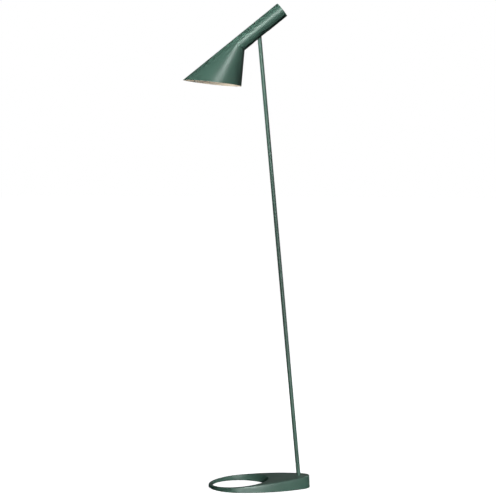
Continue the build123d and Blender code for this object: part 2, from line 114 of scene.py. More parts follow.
# %% [markdown]
# Paint charts give colours as sRGB hex values, and Blender wants them in linear light, so one
# function turns them. Another adds a node of any kind, with its settings and with a value or
# a link for each input. Every material and every Geometry Nodes tree below is built with it.

# %% Helpers for colours and nodes
def linear(code):
    """RGBA in linear light from an sRGB hex value such as 5a7a6f."""
    parts = [int(code[i:i + 2], 16) / 255 for i in (0, 2, 4)]
    return (*[p / 12.92 if p <= 0.04045 else ((p + 0.055) / 1.055) ** 2.4 for p in parts], 1)


def add(tree, kind, inputs=None, **settings):
    """Adds a node. Each input, by name or number, gets a value, a socket or the node before it."""
    node = tree.nodes.new(kind)
    for name, value in settings.items():
        setattr(node, name, value)
    for key, value in (inputs or {}).items():
        if isinstance(value, bpy.types.Node):
            value = next(socket for socket in value.outputs if socket.enabled)
        if isinstance(value, bpy.types.NodeSocket):
            tree.links.new(value, node.inputs[key])
        else:
            node.inputs[key].default_value = value
    return node


print("sRGB grey 808080 is", round(linear("808080")[0], 3), "in linear light")

# %% [markdown]
# Most finishes here are one Principled shader with some grain. Real grain comes from how the
# surface was made: powder that melted, a mould that was spark-eroded, a plating bath. It shows
# as a bump, as a drift in colour and as a drift in gloss, so one function lays all three from
# one noise, sized in millimetres. The grain reads Object coordinates, so it stays on the piece.

# %% A finish with grain
def finish(name, colours, roughness, metallic=0.0, grain=1.0, depth=0.01):
    """Material with two near colours, a range of roughness, and grain of this size in mm."""
    material = bpy.data.materials.new(name)
    material.use_nodes = True
    tree = material.node_tree
    tree.nodes.clear()
    place = add(tree, "ShaderNodeTexCoord")
    noise = add(tree, "ShaderNodeTexNoise", {
        "Vector": place.outputs["Object"], "Scale": 1 / (grain * mm), "Detail": 2.0})
    tone = add(tree, "ShaderNodeMix", {
        "Factor": noise.outputs["Fac"], 6: linear(colours[0]), 7: linear(colours[1])},
        data_type="RGBA")
    gloss = add(tree, "ShaderNodeMapRange", {
        "Value": noise.outputs["Fac"], "From Min": 0.3, "From Max": 0.7,
        "To Min": roughness[0], "To Max": roughness[1]})
    bump = add(tree, "ShaderNodeBump", {"Height": noise.outputs["Fac"], "Distance": depth * mm})
    shader = add(tree, "ShaderNodeBsdfPrincipled", {
        "Base Color": tone.outputs[2], "Roughness": gloss.outputs["Result"],
        "Metallic": metallic, "Normal": bump.outputs["Normal"]})
    add(tree, "ShaderNodeOutputMaterial", {"Surface": shader.outputs["BSDF"]})
    return material


print("grain is laid from one noise: colour, gloss and bump")

# %% [markdown]
# Shade, stem, base and rear cap carry one finish: a grey-green polyester powder coat, baked to a
# satin. The powder melts into a skin with a shallow orange peel, about two millimetres from
# crest to crest. The eye reads it as a broad soft highlight with no sharp edge. A flat colour
# would look like plastic film. Over the peel lies a much larger cloud, some 90 mm across, in
# colour and in gloss, since no spray booth is even over a whole lamp.

# %% Powder coat, satin grey-green
def powder_coat():
    """Orange peel 2 mm apart and 0.01 mm deep, under clouds about 90 mm apart."""
    material = finish("powder_coat_grey_green", ("4d6c61", "537366"), (0.33, 0.38), grain=2.0)
    tree = material.node_tree
    shader = tree.nodes["Principled BSDF"]
    place = tree.nodes["Texture Coordinate"]
    gloss = tree.nodes["Map Range"]
    clouds = add(tree, "ShaderNodeTexNoise", {
        "Vector": place.outputs["Object"], "Scale": 1 / (90 * mm), "Detail": 2.0})
    peel = shader.inputs["Base Color"].links[0].from_socket
    tone = add(tree, "ShaderNodeMix", {
        "Factor": clouds.outputs["Fac"], 6: peel, 7: linear("55796b")}, data_type="RGBA")
    tree.links.new(tone.outputs[2], shader.inputs["Base Color"])
    tree.links.new(clouds.outputs["Fac"], gloss.inputs["Value"])
    return material


coat = powder_coat()
print(coat.name, "has", len(coat.node_tree.nodes), "nodes")

# %% [markdown]
# The inside of the shade is sprayed white to throw the light down. It is a stoving enamel,
# matter than the outside and slightly warm, with a dry-spray grain of about a millimetre.
# Glossy white would show the bulb as a hot spot, and the real one doesn't.

# %% White enamel for the inside of the shade
enamel = finish("stoving_enamel_white", ("efe9de", "f8f4ec"), (0.5, 0.6), grain=1.0)
print(enamel.name, "is ready")

# %% [markdown]
# The hidden steel is zinc plated, barrel fashion: a pale bluish metal, half matt, with a faint
# spangle of a few millimetres. The knuckle and the contacts are brass, the knuckle turned and
# the contacts pressed bright. The cap of the bulb is thin aluminium, and the return spring is
# hard-drawn wire. All keep the default IOR, because a metal's colour is its reflection.

# %% Metals
zinc = finish("zinc_plated_steel", ("a9adb0", "c6c9cb"), (0.28, 0.42), 1.0, grain=3.0, depth=0.006)
turned_brass = finish(
    "turned_brass", ("b08a48", "c9a560"), (0.22, 0.34), 1.0, grain=0.5, depth=0.004)
pressed_brass = finish(
    "pressed_brass", ("c7a65c", "d6b870"), (0.16, 0.26), 1.0, grain=2.0, depth=0.004)
aluminium = finish(
    "rolled_aluminium", ("b9bab9", "d0d0ce"), (0.22, 0.34), 1.0, grain=1.2, depth=0.006)
spring_wire = finish(
    "hard_drawn_wire", ("7d7f80", "96989a"), (0.3, 0.4), 1.0, grain=0.6, depth=0.004)
metals = (zinc, turned_brass, pressed_brass, aluminium, spring_wire)
print("metals:", [metal.name for metal in metals])

# %% [markdown]
# The other small pieces are moulded or pressed. Black rubber is nearly matt. The lampholder is
# an off-white thermoset, as hard and shiny as a plate. Its core is glazed steatite. The washers
# in the pivot are vulcanised fibre, which is paper pressed hard, and so mottled. The button is
# spark-textured black ABS, and the leads have a soft sheath. Each grain is the mould's own.

# %% Rubber, plastics, ceramic and fibre
rubber_sheet = finish(
    "rubber_sheet_black", ("151515", "1e1e1d"), (0.8, 0.95), grain=0.8, depth=0.03)
soft_bush = finish("moulded_rubber_black", ("141414", "1a1a1a"), (0.55, 0.7), grain=0.5)
thermoset = finish(
    "thermoset_off_white", ("e2ded2", "ebe8de"), (0.26, 0.36), grain=4.0, depth=0.004)
steatite = finish("glazed_steatite", ("e9e6dc", "f1eee6"), (0.12, 0.2), grain=2.5)
nylon = finish("moulded_nylon_natural", ("d8d4c6", "e1ddd0"), (0.4, 0.5), grain=1.0)
fibre = finish("vulcanised_fibre_red", ("54241a", "713526"), (0.6, 0.75), grain=0.7, depth=0.02)
textured_black = finish(
    "textured_abs_black", ("131516", "1b1d1e"), (0.38, 0.5), grain=0.4, depth=0.02)
sheath = finish("soft_sheath_black", ("1a1a1a", "222222"), (0.45, 0.55), grain=1.5)
fused_glass = finish("fused_glass_black", ("0c0c0e", "131316"), (0.08, 0.14), grain=2.0)
moulded = (rubber_sheet, soft_bush, thermoset, steatite, nylon, fibre, textured_black, sheath)
print("moulded, pressed or glazed:", [material.name for material in (*moulded, fused_glass)])

# %% [markdown]
# The bulb is an opal globe that is lit. Opal glass scatters the light of the filament inside
# it, so the whole globe glows, and evenly. A clear shell round a lit wire would need thousands
# of light paths. A glowing skin under a glossy surface gives the same look, and it really
# lights the white inside of the shade. The glow is only faintly warm: a lamp this bright fills
# the eye, and most of its yellow is lost.

# %% Opal glass, lit
opal = finish("opal_glass_lit", ("f2e6d2", "f7eddc"), (0.12, 0.18), grain=6.0, depth=0.004)
glow = opal.node_tree.nodes["Principled BSDF"].inputs
glow["Emission Color"].default_value = linear("fff7ec")
glow["Emission Strength"].default_value = 6.0
print(opal.name, "glows at", glow["Emission Strength"].default_value)

# %% [markdown]
# The shade hangs on a pivot, and everything in it is easiest to describe level: the pivot at the
# origin, the tube along X, the cone towards minus X. Two matrices place it. One tilts the level
# head into the lamp, and its slope comes from the frame, where the push button slides along
# the tube. The other stands a piece on the cone's own axis, where the lampholder and bulb are.

# %% Where the head is
joints = {joint["name"]: joint for joint in frame["joints"]}
pivot = Vector(joints["head_tilt"]["pos_m"])
tube_inwards = Vector(joints["button_press"]["axis"])
slope = atan2(-tube_inwards.z, -tube_inwards.x)
head = Matrix.Translation(pivot) @ Matrix.Rotation(-slope, 4, "Y")

tube_radius = 21.0 * mm
sheet = 1.2 * mm
tube_behind_pivot = 80.3 * mm
underside_ahead_of_pivot = 65.2 * mm
tip_ahead_of_pivot = 242.7 * mm
half_cone = radians(46.0 / 2)
rim_angle = radians(45.0)

apex = Vector((2 * tube_radius / tan(2 * half_cone) - underside_ahead_of_pivot, 0, tube_radius))
cone_dir = Vector((-cos(half_cone), 0, -sin(half_cone)))
rim_normal = Vector((-sin(rim_angle), 0, -cos(rim_angle)))
tip = Vector((-tip_ahead_of_pivot, 0, tube_radius))
down_cone = cone_dir.to_track_quat("Z", "Y").to_matrix().to_4x4()
on_cone = head @ Matrix.Translation(apex) @ down_cone
facing_rear = head @ Matrix.Rotation(pi / 2, 4, "Y")
print("slope of the tube:", round(slope * 180 / pi, 2), "degrees")

# %% [markdown]
# A Geometry Nodes tree is a recipe: sizes go in and a mesh comes out. Here each tree is run once,
# on an empty holder, and its result is kept as a plain mesh. Leaving the modifier on would be
# shorter, but the poses and the export need real vertices. The sizes are set by the socket's
# identifier, which stays the same when a label is changed.

# %% Running a tree
def new_tree(name, sizes):
    """A tree with one named input for each size, and the outputs of its input node."""
    tree = bpy.data.node_groups.new(name, "GeometryNodeTree")
    for label, kind in sizes.items():
        tree.interface.new_socket(label, in_out="INPUT", socket_type="NodeSocket" + kind)
    tree.interface.new_socket("Geometry", in_out="OUTPUT", socket_type="NodeSocketGeometry")
    return tree, tree.nodes.new("NodeGroupInput").outputs


def grown(name, tree, values):
    """The plain mesh that a tree makes from these values, as a new object at the origin."""
    holder = bpy.data.objects.new("holder", bpy.data.meshes.new("holder"))
    bpy.context.collection.objects.link(holder)
    modifier = holder.modifiers.new("recipe", "NODES")
    modifier.node_group = tree
    for socket in tree.interface.items_tree:
        if socket.in_out == "INPUT":
            modifier[socket.identifier] = values[socket.name]
    holder.update_tag()
    made = holder.evaluated_get(bpy.context.evaluated_depsgraph_get())
    mesh = bpy.data.meshes.new_from_object(made)
    bpy.data.objects.remove(holder)
    piece = bpy.data.objects.new(name, mesh)
    bpy.context.collection.objects.link(piece)
    return piece


print("a tree takes named sizes and leaves a plain mesh")

# %% [markdown]
# A highlight needs to know which edges are crisp. After a mesh is made, every face is shaded
# smooth, and the edges that turn by more than a given angle are marked sharp. Real edges are
# never quite sharp: a machine breaks them, or paint rounds them. A narrow Bevel does that, and
# it catches the thin bright line that tells the eye that something is solid.

# %% Smooth faces, crisp edges, broken corners
def shaded(piece, angle=35.0, also_sharp=None):
    """Shades smooth, but keeps edges sharper than angle, and any others that are asked for."""
    mesh = bmesh.new()
    mesh.from_mesh(piece.data)
    for face in mesh.faces:
        face.smooth = True
    for edge in mesh.edges:
        turns = edge.is_manifold and edge.calc_face_angle(0) > radians(angle)
        edge.smooth = not (turns or (also_sharp and also_sharp(edge)))
    mesh.to_mesh(piece.data)
    mesh.free()
    return piece


def break_edges(piece, width, angle=50.0):
    """Rounds every edge that turns by more than angle, to about this width in mm."""
    bevel = piece.modifiers.new("broken edges", "BEVEL")
    bevel.width = width * mm
    bevel.segments = 2
    bevel.limit_method = "ANGLE"
    bevel.angle_limit = radians(angle)
    bevel.harden_normals = True
    return piece


print("edges over 35 degrees stay crisp")

# %% [markdown]
# Each new piece takes the place of one CAD node. It rides on the same body and hides the node.
# One function says all that, so no piece can be forgotten, and it counts the faces, because a
# slip such as a wall turned inside out shows in its volume.

# %% Putting a piece in its place
shown = {}


def stands_for(piece, node, material=None):
    """The piece rides where the node rode, and the node is no longer shown."""
    if material:
        piece.data.materials.clear()
        piece.data.materials.append(material)
    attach(piece, body_of[node])
    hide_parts(node)
    mesh = bmesh.new()
    mesh.from_mesh(piece.data)
    volume = mesh.calc_volume(signed=True) / mm ** 3
    open_edges = sum(not edge.is_manifold for edge in mesh.edges)
    mesh.free()
    shown[node] = piece
    faces = len(piece.data.polygons)
    print(f"{piece.name}: {faces} faces, {volume:.0f} mm3, {open_edges} open edges")
    return piece


# %% [markdown]
# The shade is one sheet of metal: a straight tube that runs on into a slanted cone. Tube and cone
# touch the same ball, so along the top they are one straight line. It could be carved by
# hand, but it follows a rule. Every straight line of the surface starts at the rear circle,
# runs level to the flat oval where tube and cone meet, and from there runs on from the point of
# the cone to the rim. So one strip of wall is a grid whose points are put on those lines.

# %% One strip of the shade's wall
shade_sizes = {
    "Around": "Int", "Rows": "Int", "Tube radius": "Float", "Behind pivot": "Float",
    "Half cone": "Float", "Apex": "Vector", "Cone axis": "Vector", "Tip": "Vector",
    "Rim normal": "Vector"}


def wall_strip():
    """Node group: the wall from one depth and place to another. Place 0 is the rear, 2 the rim."""
    ends = {"Depth from": "Float", "Depth to": "Float", "Place from": "Float", "Place to": "Float"}
    tree, size = new_tree("wall strip", {**shade_sizes, **ends})

    rows = add(tree, "ShaderNodeMath", {0: size["Rows"], 1: 1.0}, operation="ADD")
    columns = add(tree, "ShaderNodeMath", {0: size["Around"], 1: 1.0}, operation="ADD")
    grid = add(tree, "GeometryNodeMeshGrid", {
        "Size X": 1.0, "Size Y": 1.0, "Vertices X": rows, "Vertices Y": columns})
    spot = add(tree, "ShaderNodeSeparateXYZ", {0: grid.outputs["UV Map"]})
    depth = add(tree, "ShaderNodeMix", {0: spot, 2: size["Depth from"], 3: size["Depth to"]})
    place = add(tree, "ShaderNodeMix", {0: spot, 2: size["Place from"], 3: size["Place to"]})

    # a ring of the tube at this depth, and the point where each line starts at the rear
    turn = add(tree, "ShaderNodeMath", {0: spot.outputs["Y"], 1: 2 * pi}, operation="MULTIPLY")
    sine = add(tree, "ShaderNodeMath", {0: turn}, operation="SINE")
    cosine = add(tree, "ShaderNodeMath", {0: turn}, operation="COSINE")
    radius = add(tree, "ShaderNodeMath", {0: size["Tube radius"], 1: depth}, operation="SUBTRACT")
    across = add(tree, "ShaderNodeMath", {0: radius, 1: sine}, operation="MULTIPLY")
    height = add(tree, "ShaderNodeMath", {0: radius, 1: cosine}, operation="MULTIPLY")
    rear = add(tree, "ShaderNodeCombineXYZ", {0: size["Behind pivot"], 1: across, 2: height})

    # the leaning oval where the tube ends and the cone starts
    steepness = add(tree, "ShaderNodeMath", {0: size["Half cone"]}, operation="TANGENT")
    back = add(tree, "ShaderNodeMath", {0: size["Tube radius"], 1: steepness}, operation="DIVIDE")
    apex_x = add(tree, "ShaderNodeSeparateXYZ", {0: size["Apex"]})
    ball_x = add(tree, "ShaderNodeMath", {0: apex_x, 1: back}, operation="SUBTRACT")
    below_top = add(tree, "ShaderNodeMath", {0: radius, 1: height}, operation="SUBTRACT")
    half_steep = add(tree, "ShaderNodeMath", {0: steepness, 1: 0.5}, operation="MULTIPLY")
    meeting_x = add(tree, "ShaderNodeMath", {0: below_top, 1: half_steep, 2: ball_x},
                    operation="MULTIPLY_ADD")
    meeting = add(tree, "ShaderNodeCombineXYZ", {0: meeting_x, 1: across, 2: height})

    # the inner cone has its own point, further in, and every line runs from it to the rim's plane
    half_sine = add(tree, "ShaderNodeMath", {0: size["Half cone"]}, operation="SINE")
    inset = add(tree, "ShaderNodeMath", {0: depth, 1: half_sine}, operation="DIVIDE")
    shifted = add(tree, "ShaderNodeVectorMath", {0: size["Cone axis"], "Scale": inset},
                  operation="SCALE")
    point = add(tree, "ShaderNodeVectorMath", {0: size["Apex"], 1: shifted}, operation="ADD")
    ray = add(tree, "ShaderNodeVectorMath", {0: meeting, 1: point}, operation="SUBTRACT")
    to_tip = add(tree, "ShaderNodeVectorMath", {0: size["Tip"], 1: point}, operation="SUBTRACT")
    tip_drop = add(tree, "ShaderNodeVectorMath", {0: size["Rim normal"], 1: to_tip},
                   operation="DOT_PRODUCT")
    ray_drop = add(tree, "ShaderNodeVectorMath", {0: size["Rim normal"], 1: ray},
                   operation="DOT_PRODUCT")
    reach = add(tree, "ShaderNodeMath", {0: tip_drop, 1: ray_drop}, operation="DIVIDE")
    run = add(tree, "ShaderNodeVectorMath", {0: ray, "Scale": reach}, operation="SCALE")
    rim = add(tree, "ShaderNodeVectorMath", {0: point, 1: run}, operation="ADD")

    # place 0 to 1 is tube, 1 to 2 is cone
    past_tube = add(tree, "ShaderNodeMath", {0: place, 1: 1.0}, operation="SUBTRACT")
    on_tube = add(tree, "ShaderNodeMix", {0: place, 4: rear, 5: meeting}, data_type="VECTOR")
    on_line = add(tree, "ShaderNodeMix", {0: past_tube, 4: on_tube, 5: rim}, data_type="VECTOR")
    wall = add(tree, "GeometryNodeSetPosition", {"Geometry": grid, "Position": on_line})
    add(tree, "NodeGroupOutput", {0: wall})
    return tree


strip = wall_strip()
print("one strip of wall:", len(strip.nodes), "nodes")

# %% [markdown]
# Four strips close the wall: the outside, the lip of the rim, the inside and the rear edge. They
# share their borders, so merging by distance seals them. The slot for the stem is then cut from
# the underside with a long rounded block, because the cut crosses the tube's curve at an angle
# that no strip could follow. The inside strip gets the enamel and all the rest the powder coat.

# %% The whole shade as a tree
def shade_tree():
    """Four strips joined, slotted underneath, tilted into the lamp and painted."""
    tree, size = new_tree("slanted shade", {
        **shade_sizes, "Sheet": "Float", "Slot middle": "Vector", "Slot length": "Float",
        "Slot width": "Float", "Slot depth": "Float", "Pivot": "Vector", "Tilt": "Rotation",
        "Outside": "Material", "Inside": "Material"})
    shared = {name: size[name] for name in shade_sizes}
    strips = []
    for rows, depth_from, depth_to, place_from, place_to, paint in (
            (size["Rows"], 0.0, 0.0, 0.0, 2.0, "Outside"),
            (1, 0.0, size["Sheet"], 2.0, 2.0, "Outside"),
            (size["Rows"], size["Sheet"], size["Sheet"], 2.0, 0.0, "Inside"),
            (1, size["Sheet"], 0.0, 0.0, 0.0, "Outside")):
        wall = add(tree, "GeometryNodeGroup", {
            **shared, "Rows": rows, "Depth from": depth_from, "Depth to": depth_to,
            "Place from": place_from, "Place to": place_to}, node_tree=strip)
        strips.append(add(tree, "GeometryNodeSetMaterial", {
            "Geometry": wall, "Material": size[paint]}))
    joined = add(tree, "GeometryNodeJoinGeometry")
    for part in strips:
        tree.links.new(part.outputs[0], joined.inputs[0])
    sealed = add(tree, "GeometryNodeMergeByDistance", {"Geometry": joined, "Distance": 0.01 * mm})

    # a block with round ends: half of a cylinder's points go each way by half the straight length
    half_width = add(tree, "ShaderNodeMath", {0: size["Slot width"], 1: 0.5}, operation="MULTIPLY")
    block = add(tree, "GeometryNodeMeshCylinder", {
        "Vertices": 64, "Radius": half_width, "Depth": size["Slot depth"]})
    here = add(tree, "ShaderNodeSeparateXYZ", {0: add(tree, "GeometryNodeInputPosition")})
    end = add(tree, "ShaderNodeMath", {0: here}, operation="SIGN")
    straight = add(tree, "ShaderNodeMath", {0: size["Slot length"], 1: size["Slot width"]},
                   operation="SUBTRACT")
    half_straight = add(tree, "ShaderNodeMath", {0: straight, 1: 0.5}, operation="MULTIPLY")
    shift = add(tree, "ShaderNodeMath", {0: end, 1: half_straight}, operation="MULTIPLY")
    longer = add(tree, "GeometryNodeSetPosition", {
        "Geometry": block, "Offset": add(tree, "ShaderNodeCombineXYZ", {0: shift})})
    placed = add(tree, "GeometryNodeTransform", {
        "Geometry": longer, "Translation": size["Slot middle"]})
    painted = add(tree, "GeometryNodeSetMaterial", {
        "Geometry": placed, "Material": size["Outside"]})
    slotted = add(tree, "GeometryNodeMeshBoolean", {"Mesh 1": sealed, "Mesh 2": painted},
                  operation="DIFFERENCE", solver="EXACT")

    tilted = add(tree, "GeometryNodeTransform", {
        "Geometry": slotted, "Translation": size["Pivot"], "Rotation": size["Tilt"]})
    real = add(tree, "GeometryNodeRealizeInstances", {0: tilted})
    white = add(tree, "GeometryNodeMaterialSelection", {0: size["Inside"]})
    rest = add(tree, "FunctionNodeBooleanMath", {0: white}, operation="NOT")
    coated = add(tree, "GeometryNodeSetMaterial", {
        "Geometry": real, "Selection": rest, "Material": size["Outside"]})
    add(tree, "NodeGroupOutput", {0: coated})
    return tree


recipe = shade_tree()
print("the shade's tree has", len(recipe.nodes), "nodes")

# %% [markdown]
# The slot is as long as the stem needs when the head tilts from one stop to the other. The stem
# crosses the tube's underside further ahead or behind as the head turns, so its two ends come
# from the two limits of the joint. The crease where tube and cone meet is marked sharp all the
# way round: near the top its two sides already agree, so nothing shows there.

# %% The shade itself
stem_radius = 5.5 * mm
stem_lean = radians(5.5)
slot_side_gap = 1.0 * mm
slot_end_gap = 1.6 * mm
slot_roof = 9.5 * mm


def slot_end(turn, side):
    """How far ahead of the pivot the slot ends, with the head turned this far."""
    between = pi / 2 - slope + stem_lean + turn
    middle = tube_radius / tan(between)
    return middle + side * ((stem_radius + slot_side_gap) / sin(between) + slot_end_gap)


lowest_tilt, highest_tilt = (radians(turn) for turn in joints["head_tilt"]["range_deg"])
slot_front = slot_end(lowest_tilt, 1)
slot_rear = slot_end(highest_tilt, -1)
slot_depth = 2 * tube_radius - slot_roof
shade = grown("shade_sheet", recipe, {
    "Around": 192, "Rows": 48, "Tube radius": tube_radius, "Behind pivot": tube_behind_pivot,
    "Half cone": half_cone, "Apex": apex, "Cone axis": cone_dir, "Tip": tip,
    "Rim normal": rim_normal, "Sheet": sheet,
    "Slot middle": Vector((-(slot_front + slot_rear) / 2, 0, -slot_roof - slot_depth / 2)),
    "Slot length": slot_front - slot_rear, "Slot width": 2 * (stem_radius + slot_side_gap),
    "Slot depth": slot_depth, "Pivot": pivot, "Tilt": (0, -slope, 0),
    "Outside": coat, "Inside": enamel})

meeting_ball_x = apex.x - tube_radius / tan(half_cone)
crease_normal = (head.to_3x3() @ Vector((1, 0, tan(half_cone) / 2))).normalized()
crease_point = head @ Vector((meeting_ball_x, 0, tube_radius))


def on_crease(edge):
    """True for an edge in the flat oval where tube and cone meet, inside or outside."""
    away = [abs((vertex.co - crease_point).dot(crease_normal)) for vertex in edge.verts]
    return max(away) < 2 * sheet and abs(away[0] - away[1]) < 0.01 * mm


shaded(shade, also_sharp=on_crease)
break_edges(shade, 0.3, 60)
stands_for(shade, "shade")

# %% [markdown]
# Several pieces are sleeves: a wall of one thickness, rolled round an axis. The stem is a plain
# one, the brass shell and the cap of the bulb are rolled with a coarse round thread, the nipple
# has a fine thread, and the skirt of the lampholder has flutes for the fingers. So one tree
# sweeps the wall's section round a circle and presses the pattern into it with a wave. A thread
# runs up by one pitch for each turn, and flutes don't run up at all.

# %% A sleeve, plain, threaded or fluted
def sleeve_tree():
    """Wall swept round a circle, with a wave pressed into it, stood on a place along an axis."""
    tree, size = new_tree("rolled sleeve", {
        "Radius": "Float", "Wall": "Float", "Length": "Float", "Start": "Float", "Around": "Int",
        "Rings": "Int", "Waves along": "Float", "Waves around": "Float", "Wave depth": "Float",
        "Plain end": "Float", "Material": "Material"})

    half_wall = add(tree, "ShaderNodeMath", {0: size["Wall"], 1: 0.5}, operation="MULTIPLY")
    middle_radius = add(tree, "ShaderNodeMath", {0: size["Radius"], 1: half_wall},
                        operation="SUBTRACT")
    path = add(tree, "GeometryNodeCurvePrimitiveCircle", {
        "Resolution": size["Around"], "Radius": middle_radius})
    section = add(tree, "GeometryNodeCurvePrimitiveQuadrilateral", {
        "Width": size["Wall"], "Height": size["Length"]})
    ringed = add(tree, "GeometryNodeSubdivideCurve", {"Curve": section, "Cuts": size["Rings"]})
    swept = add(tree, "GeometryNodeCurveToMesh", {"Curve": path, "Profile Curve": ringed})

    # how far along and how far round each point is, and so where on the wave it lies
    here = add(tree, "GeometryNodeInputPosition")
    spot = add(tree, "ShaderNodeSeparateXYZ", {0: here})
    angle = add(tree, "ShaderNodeMath", {0: spot.outputs["Y"], 1: spot.outputs["X"]},
                operation="ARCTAN2")
    turn = add(tree, "ShaderNodeMath", {0: angle, 1: 2 * pi}, operation="DIVIDE")
    along = add(tree, "ShaderNodeMath", {0: spot.outputs["Z"], 1: size["Length"]},
                operation="DIVIDE")
    rising = add(tree, "ShaderNodeMath", {0: along, 1: size["Waves along"]}, operation="MULTIPLY")
    phase = add(tree, "ShaderNodeMath", {0: turn, 1: size["Waves around"], 2: rising},
                operation="MULTIPLY_ADD")
    circle = add(tree, "ShaderNodeMath", {0: phase, 1: 2 * pi}, operation="MULTIPLY")
    crest = add(tree, "ShaderNodeMath", {0: circle}, operation="COSINE")
    wave = add(tree, "ShaderNodeMath", {0: crest, 1: -0.5, 2: 0.5}, operation="MULTIPLY_ADD")

    # the pattern fades out towards both ends
    half_length = add(tree, "ShaderNodeMath", {0: size["Length"], 1: 0.5}, operation="MULTIPLY")
    from_middle = add(tree, "ShaderNodeMath", {0: spot.outputs["Z"]}, operation="ABSOLUTE")
    from_end = add(tree, "ShaderNodeMath", {0: half_length, 1: from_middle}, operation="SUBTRACT")
    fade = add(tree, "ShaderNodeMath", {0: from_end, 1: size["Plain end"]}, operation="DIVIDE",
               use_clamp=True)
    faded = add(tree, "ShaderNodeMath", {0: wave, 1: fade}, operation="MULTIPLY")
    inwards = add(tree, "ShaderNodeMath", {0: 0.0, 1: size["Wave depth"]}, operation="SUBTRACT")
    press = add(tree, "ShaderNodeMath", {0: faded, 1: inwards}, operation="MULTIPLY")
    flat = add(tree, "ShaderNodeVectorMath", {0: here, 1: (1, 1, 0)}, operation="MULTIPLY")
    outwards = add(tree, "ShaderNodeVectorMath", {0: flat}, operation="NORMALIZE")
    push = add(tree, "ShaderNodeVectorMath", {0: outwards, "Scale": press}, operation="SCALE")
    pressed = add(tree, "GeometryNodeSetPosition", {"Geometry": swept, "Offset": push})

    middle = add(tree, "ShaderNodeMath", {0: half_length, 1: size["Start"]}, operation="ADD")
    placed = add(tree, "GeometryNodeTransform", {
        "Geometry": pressed, "Translation": add(tree, "ShaderNodeCombineXYZ", {2: middle})})
    real = add(tree, "GeometryNodeRealizeInstances", {0: placed})
    finished = add(tree, "GeometryNodeSetMaterial", {
        "Geometry": real, "Material": size["Material"]})
    add(tree, "NodeGroupOutput", {0: finished})
    return tree


sleeve_recipe = sleeve_tree()


def sleeve(name, place, start, radius, wall, length, material, along=0.0, around=0.0, depth=0.0,
           rings=0, sides=96, plain=2.0 * mm):
    """A sleeve on the Z axis of place, from start on. Waves along and around make the pattern."""
    piece = grown(name, sleeve_recipe, {
        "Radius": radius, "Wall": wall, "Length": length, "Start": start, "Around": sides,
        "Rings": rings, "Waves along": along, "Waves around": around, "Wave depth": depth,
        "Plain end": plain, "Material": material})
    piece.data.transform(place)
    return shaded(piece)


print("the sleeve tree has", len(sleeve_recipe.nodes), "nodes")

# %% [markdown]
# Where does each sleeve start, and how wide is it? That is measured on its CAD node, along the
# axis that it turns on. So if the CAD model changes, the dressed piece follows it.

# %% Measuring a turned piece
def measured(node, place):
    """Start, end and greatest radius of a node, along and about the Z axis of place."""
    back = place.inverted()
    points = [back @ vertex.co for vertex in frame["nodes"][node].data.vertices]
    along = [point.z for point in points]
    return min(along), max(along), max(sqrt(point.x ** 2 + point.y ** 2) for point in points)


up_stem = Matrix.Rotation(-stem_lean, 4, "Y")
for node in ("stem", "stem_washer"):
    print(node, [round(value / mm, 2) for value in measured(node, up_stem)])

# %% [markdown]
# The stem is a drawn steel tube of 11 mm with a wall of 1.2 mm. It runs up through the base,
# into the slot of the shade and onto the knuckle. A swept sleeve with 96 sides looks round
# even close by, and it stays hollow for the lead inside.

# %% The stem
stem_wall = 1.2 * mm
start, end, radius = measured("stem", up_stem)
stem = sleeve("stem_tube", up_stem, start, radius, stem_wall, end - start, coat)
stands_for(stem, "stem")

# %% [markdown]
# The lampholder takes a bulb with the common 27 mm round thread, which has about seven turns
# to the inch. Shell and cap are thin metal, so the thread is rolled through the whole wall and
# shows inside and out. The skirt's flutes are shallow, and they stop short of both ends.

# %% The threaded and fluted sleeves
thread_pitch = 3.63 * mm
shell_wall = 0.5 * mm
start, end, radius = measured("screw_shell", on_cone)
shell = sleeve("rolled_screw_shell", on_cone, start, radius, shell_wall, end - start,
               pressed_brass, along=(end - start) / thread_pitch, around=-1, depth=0.45 * mm,
               rings=71)
stands_for(shell, "screw_shell")

nipple_pitch = 1.0 * mm
nipple_wall = 1.5 * mm
start, end, radius = measured("lampholder_nipple", on_cone)
nipple = sleeve("threaded_nipple", on_cone, start, radius, nipple_wall, end - start, zinc,
                along=(end - start) / nipple_pitch, around=-1, depth=0.3 * mm, rings=135,
                sides=48, plain=0.8 * mm)
stands_for(nipple, "lampholder_nipple")

flutes = 36
skirt_wall = 2.2 * mm
start, end, radius = measured("lampholder_skirt", on_cone)
skirt = sleeve("fluted_skirt", on_cone, start, radius, skirt_wall, end - start, thermoset,
               around=flutes, depth=0.5 * mm, rings=23, sides=8 * flutes, plain=5.0 * mm)
break_edges(skirt, 0.5)
stands_for(skirt, "lampholder_skirt")

# %% [markdown]
# The bulb is turned too, but its section is not a plain wall. Lathe work is a section, given as
# radius and height, carried round an axis. Points on the axis become a single pole, so nothing
# is left open. The cap of the bulb has a rounded shoulder at the back and then the thread, which
# is pressed into its side after turning, along a spiral set by each point's height.

# %% Lathe work
sides = 96
on_axis = 1e-9


